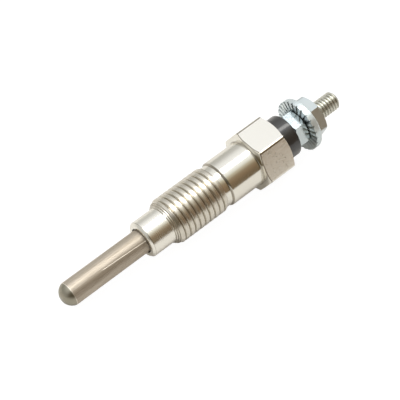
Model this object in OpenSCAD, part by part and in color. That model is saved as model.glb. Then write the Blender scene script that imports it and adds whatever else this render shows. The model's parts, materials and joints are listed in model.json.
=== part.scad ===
// Diesel glow plug, lying on a flat of its hexagon as it comes to rest.
// Along the plug's own axis, height 0 is the front face of the nose and the stud points up.

/* [Heater sheath] */
// Outside diameter of the sheath
sheath_d = 5; // [4.4:0.1:5.4]
// Reach of the sheath in front of the nose
sheath_reach = 19.5; // [17:0.1:26]
// Depth of the sheath inside the housing
sheath_depth = 15; // [12:0.1:17]
// Wall of the sheath's tube
sheath_wall = 0.6; // [0.4:0.05:0.7]
// Thickness of the closed end
tip_wall = 1; // [0.8:0.05:1.3]
// How much the radius of the closed end's dome is larger than the sheath's
tip_crown = 0.1; // [0.05:0.05:0.4]
// Diameter of the flat on the closed end
tip_flat_d = 2; // [1.4:0.1:2.6]
// Bevel inside the closed end
tip_bevel = 0.3; // [0.1:0.05:0.4]

/* [Coils and rod] */
// Diameter of the coils' wire
wire_d = 0.36; // [0.24:0.02:0.44]
// Powder between the coils and the sheath
insulation = 0.6; // [0.4:0.05:0.7]
// Length of the heating coil
heating_len = 6; // [5:0.1:8]
// Turns of the heating coil
heating_turns = 8; // [5:1:10]
// Length of the control coil
control_len = 7.5; // [5:0.1:9]
// Turns of the control coil
control_turns = 7; // [5:1:10]
// Length of the pin that the control coil is wound on
pin_len = 2.4; // [1.5:0.1:4]
// Diameter of the rod inside the housing
rod_d = 3.5; // [3:0.05:3.5]
// Length of the rubber plug in the sheath
sheath_seal_len = 3; // [2:0.1:5]

/* [Housing] */
// Diameter of the nose
nose_d = 7.8; // [7:0.1:8.4]
// Length of the nose
nose_len = 5.5; // [4:0.1:8]
// Bevel on the front edge of the nose
nose_bevel = 0.45; // [0.2:0.05:0.6]
// Diameter of the relief round the sheath at the nose
mouth_d = 5.5; // [5.45:0.05:6]
// Depth of that relief
mouth_depth = 1.5; // [0.5:0.1:3]
// Length of the cone that leads into the thread
lead_len = 1; // [0.6:0.1:1.6]
// Major diameter of the thread in the cylinder head
thread_d = 10; // [9.5:0.5:10.5]
// Length of the thread at full diameter
thread_len = 11.5; // [8:0.1:16]
// Pitch of that thread
thread_pitch = 1.25; // [0.75:0.25:1.5]
// Diameter of the relief behind the thread
relief_d = 9.2; // [8:0.1:9.4]
// Length of the relief behind the thread
relief_len = 1.6; // [1:0.1:2.5]
// Diameter of the shank
shank_d = 9.9; // [9.2:0.1:10]
// Length of the shank
shank_len = 7.9; // [5:0.1:16]
// Bevel on the edges of the thread's end and the shank
edge_bevel = 0.3; // [0.1:0.05:0.5]
// Width of the spanner hexagon across its flats
hex_af = 12; // [11.6:0.1:13]
// Length of the spanner hexagon
hex_len = 7.2; // [7:0.1:9]
// Straight part of the front edge of each of its flats, between the bevelled corners
hex_land = 3; // [2.4:0.1:5]
// Diameter of the socket for the bush
socket_d = 6.8; // [6.4:0.1:7.4]
// Depth of the socket for the bush
socket_depth = 5.8; // [4.5:0.1:6.4]

/* [Terminal] */
// Major diameter of the terminal stud
stud_d = 4; // [4:0.05:4.4]
// Pitch of the stud's thread
stud_pitch = 0.7; // [0.5:0.05:0.7]
// Length of stud left free above the nuts
stud_free = 5.8; // [4:0.1:10]
// Bevel on the stud's end
stud_bevel = 0.45; // [0.2:0.05:0.6]
// Diameter of the bush's rim
bush_d = 9.2; // [8.4:0.1:10]
// Height of the bush's rim
bush_h = 3.5; // [2:0.1:6]
// Rounding of the bush's upper edge
bush_round = 0.45; // [0.2:0.05:0.8]
// Width of the plain nut across its flats
lock_af = 7; // [6.6:0.1:8]
// Height of the plain nut
lock_h = 3.1; // [2.2:0.1:5]
// Turn of the plain nut against the spanner hexagon
lock_turn = 5; // [-30:1:30]
// Width of the flange nut across its flats
nut_af = 8; // [7.5:0.1:9]
// Height of the flange nut
nut_h = 4.4; // [3.6:0.1:7]
// Turn of the flange nut against the spanner hexagon
nut_turn = -9; // [-30:1:30]
// Diameter of the nut's flange
flange_d = 11.4; // [10.6:0.1:12]
// Thickness of the flange at its rim
flange_rim = 1.45; // [0.8:0.05:1.8]
// Slope of the flange's upper side, in degrees
flange_slope = 22; // [10:1:28]
// Number of serrations under the flange
serrations = 26; // [20:1:44]
// Depth of the serrations at the rim
serration_depth = 0.4; // [0.2:0.02:0.5]

/* [Fits] */
// Gap round what is pressed, packed or screwed in
fit_gap = 0.02; // [0.01:0.01:0.04]
// Gap between the heating coil's first turn and the closed end
weld_gap = 0.3; // [0.2:0.05:0.5]
// Gap between the rod and the bore that it passes
rod_gap = 0.45; // [0.3:0.05:0.6]
// Gap between the stud's thread and the bush
bush_gap = 0.1; // [0.05:0.05:0.3]
// How far a hexagon's bevel starts inside its flats
hex_inset = 0.2; // [0.1:0.05:0.4]

/* [Hidden] */
$fn = 96;
// A cutter runs past the face that it opens by this much
past = 1;
// Slope of the bevels on hexagons and of the countersinks in nuts
bevel_slope = 30;
// Steps in the outline of the closed end's dome
dome_steps = 8;
// Shares of a thread's pitch that its depth and its flat crest take, and the slope of its flanks
thread_depth_share = 0.6134;
thread_crest_share = 0.125;
flank_slope = 30;
// Steps in a turn of a coil and sides of its wire
coil_steps = 20;
wire_sides = 8;
// Share of a serration's pitch that its long and its steep flank take, the rest is the flat crest
long_flank = 0.62;
steep_flank = 0.2;
// How far a notch is drawn past the face that it opens, as a share of its depth
serration_open = 0.1;

nickel = [0.78, 0.75, 0.70];
alloy = [0.60, 0.56, 0.50];
zinc = [0.80, 0.82, 0.84];
wire_colour = [0.45, 0.42, 0.40];
powder = [0.92, 0.91, 0.88];
rubber = [0.12, 0.12, 0.13];
phenolic = [0.05, 0.05, 0.05];

// Radii of what lies inside the sheath, from its wall inwards
sheath_r = sheath_d / 2;
sheath_bore_r = sheath_r - sheath_wall;
wire_r = wire_d / 2;
neck_r = sheath_bore_r - insulation;
coil_r = neck_r - wire_r;
pin_r = coil_r - wire_r - 2 * fit_gap;

// Heights inside the sheath, from the closed end upwards
tip_z = -sheath_reach;
sheath_floor_z = tip_z + tip_wall;
heating_z = sheath_floor_z + wire_r + weld_gap;
control_z = heating_z + heating_len;
neck_z = control_z + control_len + wire_r + fit_gap;
pin_z = neck_z - pin_len;

// Heights along the housing and the terminal
lead_z = nose_len;
thread_z = lead_z + lead_len;
relief_z = thread_z + thread_len;
shank_z = relief_z + relief_len;
hex_z = shank_z + shank_len;
bush_z = hex_z + hex_len;
lock_z = bush_z + bush_h;
nut_z = lock_z + lock_h;
free_z = nut_z + nut_h;
end_z = free_z + stud_free;
socket_z = bush_z - socket_depth;

// Radii round the rod
rod_r = rod_d / 2;
rod_bore_r = rod_r + rod_gap;
stud_r = stud_d / 2;
// Threads that are engaged meet at their pitch diameter
pitch_r = stud_r - 0.32476 * stud_pitch;
socket_r = socket_d / 2;
ring_r = (socket_r - rod_r) / 2 - fit_gap;
ring_z = socket_z + ring_r + fit_gap;
spigot_z = ring_z + ring_r + fit_gap;

// The plug rests on the front of its thread and on the front edge of the hexagon's lower flat
tilt = atan((hex_af - thread_d) / 2 / (hex_z - thread_z));
lift = thread_d / 2 * cos(tilt) - thread_z * sin(tilt);

// Lays the upright plug down with its middle over the origin and its lowest points on the floor
module lay()
    translate([-(tip_z + end_z) / 2 * cos(tilt), 0, lift])
        rotate([0, 90 - tilt, 0])
            children();

// A turned shape from its half profile of radius and height
module turn(points)
    rotate_extrude()
        polygon(points);

// Half profile of a thread as a row of rings, from the front of its first crest
function thread_rings(r, start, length, pitch) =
    let (
        crest = thread_crest_share * pitch,
        depth = thread_depth_share * pitch,
        flank = depth * tan(flank_slope),
        grooves = floor((length - crest) / pitch)
    )
    [
        [r, start],
        for (groove = [0 : grooves - 1])
            let (z = start + crest + groove * pitch)
            each [
                [r, z],
                [r - depth, z + flank],
                [r - depth, z + pitch - crest - flank],
                [r, z + pitch - crest],
            ],
        [r, start + length],
    ];

// Radius of the corners of a hexagon bar
function corner_r(af) = af / 2 / cos(30);

// Radius of a hexagon bar's end face where its bevel starts inside the flats
function face_r(af) = af / 2 - hex_inset;

// A hexagon bar with a flat towards +X, bevelled outside the radii of its lower and upper end face
module hex_bar(af, h, lower_r, upper_r) {
    edge_r = corner_r(af);
    intersection() {
        rotate(30)
            cylinder(r = edge_r, h = h, $fn = 6);
        turn([
            [0, 0],
            [lower_r, 0],
            [edge_r, (edge_r - lower_r) * tan(bevel_slope)],
            [edge_r, h - (edge_r - upper_r) * tan(bevel_slope)],
            [upper_r, h],
            [0, h],
        ]);
    }
}

// The threaded hole of a nut with a countersink at each end
module nut_bore(h) {
    bore_r = pitch_r + fit_gap;
    sink_r = stud_r + bush_gap;
    sink = (sink_r - bore_r) * tan(bevel_slope);
    turn([
        [0, -past],
        [sink_r, -past],
        [sink_r, 0],
        [bore_r, sink],
        [bore_r, h - sink],
        [sink_r, h],
        [sink_r, h + past],
        [0, h + past],
    ]);
}

// A point on the skin of a coil's wire, after so many steps along the coil and so many sides round the wire
function wire_point(step, side, pitch) =
    let (turn = step / coil_steps, round_wire = side * 360 / wire_sides)
    let (r = coil_r + wire_r * cos(round_wire))
    [r * cos(turn * 360), r * sin(turn * 360), turn * pitch + wire_r * sin(round_wire)];

// A coil of round wire that climbs from +X, with its two ends cut flat on the plane through the axis
module coil(turns, length) {
    steps = turns * coil_steps;
    points = [
        for (step = [0 : steps], side = [0 : wire_sides - 1])
            wire_point(step, side, length / turns)
    ];
    skin = [
        for (step = [0 : steps - 1], side = [0 : wire_sides - 1])
            let (here = step * wire_sides, next = (side + 1) % wire_sides)
            each [
                [here + side, here + wire_sides + side, here + next],
                [here + next, here + wire_sides + side, here + wire_sides + next],
            ]
    ];
    start = [for (side = [0 : wire_sides - 1]) side];
    end = [for (side = [wire_sides - 1 : -1 : 0]) steps * wire_sides + side];
    polyhedron(points, concat(skin, [start, end]), convexity = 10);
}

module housing_outside() {
    nose_r = nose_d / 2;
    relief_r = relief_d / 2;
    shank_r = shank_d / 2;
    turn([
        [0, 0],
        [nose_r - nose_bevel, 0],
        [nose_r, nose_bevel],
        [nose_r, lead_z],
        each thread_rings(thread_d / 2, thread_z, thread_len, thread_pitch),
        [relief_r, relief_z + edge_bevel],
        [relief_r, shank_z],
        [shank_r - edge_bevel, shank_z],
        [shank_r, shank_z + edge_bevel],
        [shank_r, hex_z + past],
        [0, hex_z + past],
    ]);
    translate([0, 0, hex_z])
        hex_bar(hex_af, hex_len, norm([hex_af, hex_land]) / 2, face_r(hex_af));
}

module housing_bore()
    turn([
        [0, -past],
        [mouth_d / 2, -past],
        [mouth_d / 2, mouth_depth],
        [sheath_r + fit_gap, mouth_depth],
        [sheath_r + fit_gap, sheath_depth],
        [rod_bore_r, sheath_depth],
        [rod_bore_r, socket_z],
        [socket_r, socket_z],
        [socket_r, bush_z + past],
        [0, bush_z + past],
    ]);

module housing()
    color(nickel)
        lay()
            difference() {
                housing_outside();
                housing_bore();
            }

module heater_sheath() {
    dome_r = sheath_r + tip_crown;
    flat_angle = asin(tip_flat_d / 2 / dome_r);
    edge_angle = asin(sheath_r / dome_r);
    dome_z = tip_z + dome_r * cos(flat_angle);
    color(alloy)
        lay()
            turn([
                [0, tip_z],
                for (step = [0 : dome_steps])
                    let (angle = flat_angle + (edge_angle - flat_angle) * step / dome_steps)
                    [dome_r * sin(angle), dome_z - dome_r * cos(angle)],
                [sheath_r, sheath_depth],
                [sheath_bore_r, sheath_depth],
                [sheath_bore_r, sheath_floor_z + tip_bevel],
                [sheath_bore_r - tip_bevel, sheath_floor_z],
                [0, sheath_floor_z],
            ]);
}

module heating_coil()
    color(wire_colour)
        lay()
            translate([0, 0, heating_z])
                coil(heating_turns, heating_len);

module control_coil()
    color(wire_colour)
        lay()
            translate([0, 0, control_z])
                coil(control_turns, control_len);

// The powder leaves a ring-shaped channel for the coils, round a core that stands inside them
module magnesia_fill() {
    fill_r = sheath_bore_r - fit_gap;
    hole_r = neck_r + fit_gap;
    floor_z = sheath_floor_z + fit_gap;
    channel_z = heating_z - wire_r - fit_gap;
    top_z = sheath_depth - sheath_seal_len;
    color(powder)
        lay()
            turn([
                [0, floor_z],
                [fill_r - tip_bevel, floor_z],
                [fill_r, floor_z + tip_bevel],
                [fill_r, top_z],
                [hole_r, top_z],
                [hole_r, channel_z],
                [pin_r, channel_z],
                [pin_r, pin_z - fit_gap],
                [0, pin_z - fit_gap],
            ]);
}

module centre_rod()
    color(nickel)
        lay()
            turn([
                [0, pin_z],
                [pin_r, pin_z],
                [pin_r, neck_z],
                [neck_r, neck_z],
                [neck_r, sheath_depth],
                [rod_r, sheath_depth],
                [rod_r, lock_z],
                [pitch_r, lock_z],
                [pitch_r, free_z],
                [stud_r, free_z],
                [stud_r, end_z - stud_bevel],
                [stud_r - stud_bevel, end_z],
                [0, end_z],
            ]);

module sheath_seal()
    color(rubber)
        lay()
            translate([0, 0, sheath_depth - sheath_seal_len])
                difference() {
                    cylinder(r = sheath_bore_r - fit_gap, h = sheath_seal_len);
                    translate([0, 0, -past])
                        cylinder(r = neck_r + fit_gap, h = sheath_seal_len + 2 * past);
                }

module body_seal()
    color(rubber)
        lay()
            translate([0, 0, ring_z])
                rotate_extrude()
                    translate([(socket_r + rod_r) / 2, 0])
                        circle(r = ring_r);

module insulating_bush() {
    rim_r = bush_d / 2;
    bore_r = stud_r + bush_gap;
    spigot_r = socket_r - fit_gap;
    color(phenolic)
        lay()
            difference() {
                union() {
                    translate([0, 0, spigot_z])
                        cylinder(r = spigot_r, h = lock_z - spigot_z - bush_round);
                    rotate_extrude() {
                        translate([0, bush_z])
                            square([rim_r, bush_h - bush_round]);
                        translate([0, bush_z])
                            square([rim_r - bush_round, bush_h]);
                        translate([rim_r - bush_round, lock_z - bush_round])
                            circle(r = bush_round);
                    }
                }
                translate([0, 0, spigot_z - past])
                    cylinder(r = bore_r, h = lock_z - spigot_z + 2 * past);
            }
}

module lock_nut()
    color(zinc)
        lay()
            translate([0, 0, lock_z])
                rotate(lock_turn)
                    difference() {
                        hex_bar(lock_af, lock_h, face_r(lock_af), face_r(lock_af));
                        nut_bore(lock_h);
                    }

// A radial notch with one long and one steep flank, which narrows and rises towards the axis
module serration() {
    outer_r = flange_d / 2 + past;
    pitch = 2 * PI * outer_r / serrations;
    depth = serration_depth * outer_r / (flange_d / 2);
    translate([outer_r, 0, 0])
        rotate([90, 0, -90])
            linear_extrude(height = outer_r - pitch_r, scale = pitch_r / outer_r)
                polygon([
                    [0, depth],
                    [-long_flank * pitch, -serration_open * depth],
                    [steep_flank * pitch, -serration_open * depth],
                ]);
}

module terminal_nut() {
    rim_r = flange_d / 2;
    hex_r = nut_af / 2;
    rise = (rim_r - hex_r) * tan(flange_slope);
    color(zinc)
        lay()
            translate([0, 0, nut_z])
                rotate(nut_turn)
                    difference() {
                        union() {
                            hex_bar(nut_af, nut_h, corner_r(nut_af), face_r(nut_af));
                            turn([
                                [0, 0],
                                [rim_r, 0],
                                [rim_r, flange_rim],
                                [hex_r, flange_rim + rise],
                                [0, flange_rim + rise],
                            ]);
                        }
                        nut_bore(nut_h);
                        for (tooth = [0 : serrations - 1])
                            rotate(tooth * 360 / serrations)
                                serration();
                    }
}

housing();
heater_sheath();
heating_coil();
control_coil();
magnesia_fill();
centre_rod();
sheath_seal();
body_seal();
insulating_bush();
lock_nut();
terminal_nut();
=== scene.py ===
"""Looks of a diesel glow plug that lies on a flat of its hexagon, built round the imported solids.

Each piece is drawn upright in millimetres along the plug's own axis, with the front face of the nose at
height 0 and the stud pointing up. Its finished mesh is then laid into the frame, in metres.
"""

from __future__ import annotations

import json
import logging
import math
from abc import ABC, abstractmethod
from collections.abc import Callable, Mapping, Sequence
from dataclasses import dataclass, field
from enum import Enum
from typing import Any

import bmesh
import bpy
from mathutils import Matrix, Vector

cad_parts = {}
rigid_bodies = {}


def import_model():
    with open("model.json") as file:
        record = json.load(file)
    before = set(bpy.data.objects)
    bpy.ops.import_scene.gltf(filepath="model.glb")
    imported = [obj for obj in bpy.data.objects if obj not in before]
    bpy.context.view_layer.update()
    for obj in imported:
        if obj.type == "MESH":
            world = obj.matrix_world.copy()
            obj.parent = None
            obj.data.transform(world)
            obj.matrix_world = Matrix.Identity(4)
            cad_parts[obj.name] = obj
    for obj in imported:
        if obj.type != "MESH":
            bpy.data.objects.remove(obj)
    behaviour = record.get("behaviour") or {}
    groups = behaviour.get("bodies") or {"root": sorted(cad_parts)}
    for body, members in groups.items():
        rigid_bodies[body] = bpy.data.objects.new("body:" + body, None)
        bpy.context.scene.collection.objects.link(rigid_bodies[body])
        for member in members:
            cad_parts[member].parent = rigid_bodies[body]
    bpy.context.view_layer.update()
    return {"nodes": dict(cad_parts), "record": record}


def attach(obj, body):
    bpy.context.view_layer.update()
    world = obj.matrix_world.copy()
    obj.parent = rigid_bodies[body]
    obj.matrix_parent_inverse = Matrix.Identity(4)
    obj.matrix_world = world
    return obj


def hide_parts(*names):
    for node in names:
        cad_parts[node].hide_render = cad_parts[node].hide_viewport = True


LOG = logging.getLogger("glow_plug")

IMAGE_SIDE = 400
SENSOR_MM = 36.0
MM = 0.001
BODY = "root"

# Distances in upright millimetres below which points count as one.
SLIVER = 1e-6
SAME_POINT = 2e-5
SAME_HEIGHT = 1e-4
SAME_RADIUS = 1e-3

Colour = tuple[float, float, float]
Along = float | Callable[[float], float]
Operand = "Value | float"


class Slot(Enum):
    """The record's material slots."""

    NICKEL = "bright_nickel"
    ALLOY = "heater_alloy"
    WIRE = "resistance_wire"
    POWDER = "packed_powder"
    STEEL = "terminal_steel"
    RUBBER = "seal_rubber"
    PHENOLIC = "black_phenolic"
    ZINC = "white_zinc"


@dataclass(frozen=True)
class Lay:
    """How the upright plug lies in the frame.

    Attributes:
        origin: Centre of the nose's front face, in metres.
        lean: Turn about Y that brings the upright axis onto the lying plug's, in radians.
    """

    origin: Vector
    lean: float

    @classmethod
    def from_record(cls, record: Mapping[str, Any]) -> Lay:
        """Reads the lie of the plug from the record's mounts.

        Args:
            record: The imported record.

        Returns:
            The lie that the nose seat and the stud's axis give.
        """
        mounts = {mount["name"]: mount for mount in record["mounts"]}
        axis = mounts["terminal_stud"]["axis"]
        return cls(Vector(mounts["nose_seat"]["pos_m"]), math.atan2(axis[0], axis[2]))

    def matrix(self) -> Matrix:
        """Returns the matrix from upright millimetres to the frame's metres."""
        turn = Matrix.Rotation(self.lean, 4, "Y")
        return Matrix.Translation(self.origin) @ turn @ Matrix.Scale(MM, 4)

    def point(self, height: float) -> Vector:
        """Returns the point of the axis at a height of the upright plug, in metres."""
        return self.matrix() @ Vector((0.0, 0.0, height))


@dataclass(frozen=True)
class Stack:
    """Heights along the plug, from the closed end of the sheath to the end of the stud.

    Attributes:
        tip: Closed end of the sheath.
        thread, relief: Foot and top of the housing's thread.
        shank, hexagon: Foot of the shank and of the hexagon.
        bush, lock, nut: Foot of the bush, of the lock nut and of the flange nut.
        free, end: Foot and top of the stud's free end.
        socket: Floor of the housing's socket for the bush.
        spigot: Lower end of the bush.
        sheath_top, sheath_floor: Open end of the sheath and the floor of its bore.
        neck, pin: Lower ends of the rod's neck and of its pin.
    """

    tip: float = -19.5
    thread: float = 6.5
    relief: float = 18.0
    shank: float = 19.6
    hexagon: float = 27.5
    bush: float = 34.7
    lock: float = 38.2
    nut: float = 41.3
    free: float = 45.7
    end: float = 51.5
    socket: float = 28.9
    spigot: float = 30.55
    sheath_top: float = 15.0
    sheath_floor: float = -18.5
    neck: float = -4.32
    pin: float = -6.72


class Value:
    """A number that a node puts out; maths on it adds Math nodes."""

    def __init__(self, bench: Bench, socket: bpy.types.NodeSocket) -> None:
        """Wraps an output socket of a node on the bench."""
        self.bench = bench
        self.socket = socket

    def math(self, operation: str, *terms: Operand) -> Value:
        """Adds one Math node.

        Args:
            operation: The node's operation.
            terms: Its inputs in order.

        Returns:
            What the node puts out.
        """
        node = self.bench.node("ShaderNodeMath", {"operation": operation}, dict(enumerate(terms)))
        return Value(self.bench, node.outputs[0])

    def __add__(self, other: Operand) -> Value:
        """Adds."""
        return self.math("ADD", self, other)

    def __radd__(self, other: float) -> Value:
        """Adds to a number."""
        return self.math("ADD", other, self)

    def __sub__(self, other: Operand) -> Value:
        """Subtracts."""
        return self.math("SUBTRACT", self, other)

    def __rsub__(self, other: float) -> Value:
        """Subtracts from a number."""
        return self.math("SUBTRACT", other, self)

    def __mul__(self, other: Operand) -> Value:
        """Multiplies."""
        return self.math("MULTIPLY", self, other)

    def __rmul__(self, other: float) -> Value:
        """Multiplies a number."""
        return self.math("MULTIPLY", other, self)


class Bench:
    """Adds nodes to one node tree and links them."""

    def __init__(self, tree: bpy.types.NodeTree) -> None:
        """Clears the tree and works on it."""
        self.tree = tree
        tree.nodes.clear()

    def node(
        self,
        kind: str,
        settings: Mapping[str, Any] | None = None,
        inputs: Mapping[int | str, Any] | None = None,
    ) -> bpy.types.Node:
        """Adds a node.

        Args:
            kind: The node's type.
            settings: Its properties, set first; stops are a ramp's positions and colours.
            inputs: Values or links for its sockets, by name or index.

        Returns:
            The new node.
        """
        node = self.tree.nodes.new(kind)
        for name, value in (settings or {}).items():
            if name == "stops":
                elements = node.color_ramp.elements
                while len(elements) < len(value):
                    elements.new(1.0)
                for element, (position, colour) in zip(elements, value):
                    element.position = position
                    element.color = (*colour, 1.0)
            else:
                setattr(node, name, value)
        for key, value in (inputs or {}).items():
            self.feed(node.inputs[key], value)
        return node

    def feed(self, socket: bpy.types.NodeSocket, value: Any) -> None:
        """Links a value or a socket to an input, or sets a plain number or colour on it.

        Args:
            socket: The input.
            value: What it gets.
        """
        if isinstance(value, Value):
            self.tree.links.new(value.socket, socket)
        elif isinstance(value, bpy.types.NodeSocket):
            self.tree.links.new(value, socket)
        elif isinstance(value, tuple) and socket.type == "RGBA":
            socket.default_value = (*value, 1.0)
        else:
            socket.default_value = value

    def plug_point(self, lay: Lay) -> bpy.types.NodeSocket:
        """Finds the shaded point on the upright plug.

        Args:
            lay: The lie of the plug.

        Returns:
            The point, in millimetres.
        """
        back = Matrix.Rotation(-lay.lean, 3, "Y")
        place = -(back @ lay.origin) / MM
        source = self.node("ShaderNodeTexCoord").outputs["Object"]
        mapping = self.node(
            "ShaderNodeMapping",
            {"vector_type": "POINT"},
            {
                "Vector": source,
                "Location": tuple(place),
                "Rotation": (0.0, -lay.lean, 0.0),
                "Scale": (1 / MM, 1 / MM, 1 / MM),
            },
        )
        return mapping.outputs["Vector"]

    def stretch(self, point: bpy.types.NodeSocket, factors: Colour) -> bpy.types.NodeSocket:
        """Returns a point with each axis multiplied by its factor."""
        node = self.node("ShaderNodeVectorMath", {"operation": "MULTIPLY"}, {0: point, 1: factors})
        return node.outputs["Vector"]

    def split(self, point: bpy.types.NodeSocket) -> tuple[Value, Value, Value]:
        """Returns a point's three parts."""
        node = self.node("ShaderNodeSeparateXYZ", inputs={"Vector": point})
        return Value(self, node.outputs[0]), Value(self, node.outputs[1]), Value(self, node.outputs[2])

    def noise(
        self, point: bpy.types.NodeSocket, scale: float, detail: float = 2.0, rough: float = 0.5
    ) -> Value:
        """Adds soft noise between 0 and 1.

        Args:
            point: Where it is read.
            scale: Waves to a millimetre.
            detail: Octaves.
            rough: Share of each octave in the one before.

        Returns:
            The noise.
        """
        node = self.node(
            "ShaderNodeTexNoise",
            inputs={"Vector": point, "Scale": scale, "Detail": detail, "Roughness": rough},
        )
        return Value(self, node.outputs["Fac"])

    def reach(self, point: bpy.types.NodeSocket) -> Value:
        """Measures a point's distance from the plug's axis.

        Args:
            point: The point on the upright plug.

        Returns:
            The distance, in millimetres.
        """
        flat = self.stretch(point, (1.0, 1.0, 0.0))
        node = self.node("ShaderNodeVectorMath", {"operation": "LENGTH"}, {0: flat})
        return Value(self, node.outputs["Value"])

    def along(self, point: bpy.types.NodeSocket, way: Colour) -> Value:
        """Returns how far a point lies along a direction."""
        node = self.node("ShaderNodeVectorMath", {"operation": "DOT_PRODUCT"}, {0: point, 1: way})
        return Value(self, node.outputs["Value"])

    def step(self, value: Value, low: float, high: float) -> Value:
        """Adds a soft step.

        Args:
            value: What is compared.
            low: The value up to which the step is 0.
            high: The value from which it is 1.

        Returns:
            The step.
        """
        node = self.node(
            "ShaderNodeMapRange",
            {"interpolation_type": "SMOOTHSTEP"},
            {"Value": value, "From Min": low, "From Max": high},
        )
        return Value(self, node.outputs["Result"])

    def span(self, value: Value, low: float, high: float, soft: float) -> Value:
        """Adds a mask that is 1 between two values.

        Args:
            value: What is compared.
            low: The lower value.
            high: The upper value.
            soft: Width of the soft edge at each.

        Returns:
            The mask.
        """
        rising = self.step(value, low - soft / 2, low + soft / 2)
        return rising * (1.0 - self.step(value, high - soft / 2, high + soft / 2))

    def mix(self, share: Operand, first: Any, second: Any) -> bpy.types.NodeSocket:
        """Mixes two colours.

        Args:
            share: Share of the second colour.
            first: The first colour.
            second: The second colour.

        Returns:
            The mixed colour.
        """
        # A Mix node's colour sockets come after those for numbers and vectors.
        node = self.node("ShaderNodeMix", {"data_type": "RGBA"}, {0: share, 6: first, 7: second})
        return node.outputs[2]

    def bump(self, height: Value, depth: float) -> bpy.types.NodeSocket:
        """Returns a normal for a relief of so many metres."""
        node = self.node("ShaderNodeBump", inputs={"Height": height, "Distance": depth, "Strength": 1.0})
        return node.outputs["Normal"]


@dataclass(frozen=True)
class Finish(ABC):
    """A surface finish, from which a material is made."""

    slot: Slot

    @abstractmethod
    def paint(self, bench: Bench, lay: Lay) -> Mapping[str, Any]:
        """Paints the finish.

        Args:
            bench: The material's nodes.
            lay: The lie of the plug.

        Returns:
            The inputs of the shader.
        """

    def material(self, lay: Lay) -> bpy.types.Material:
        """Makes the material.

        Args:
            lay: The lie of the plug, which the pattern follows.

        Returns:
            The material, named for its slot.
        """
        material = bpy.data.materials.new(self.slot.value)
        material.use_nodes = True
        bench = Bench(material.node_tree)
        shader = bench.node("ShaderNodeBsdfPrincipled", inputs=self.paint(bench, lay))
        bench.node("ShaderNodeOutputMaterial", inputs={"Surface": shader.outputs["BSDF"]})
        return material


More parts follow.
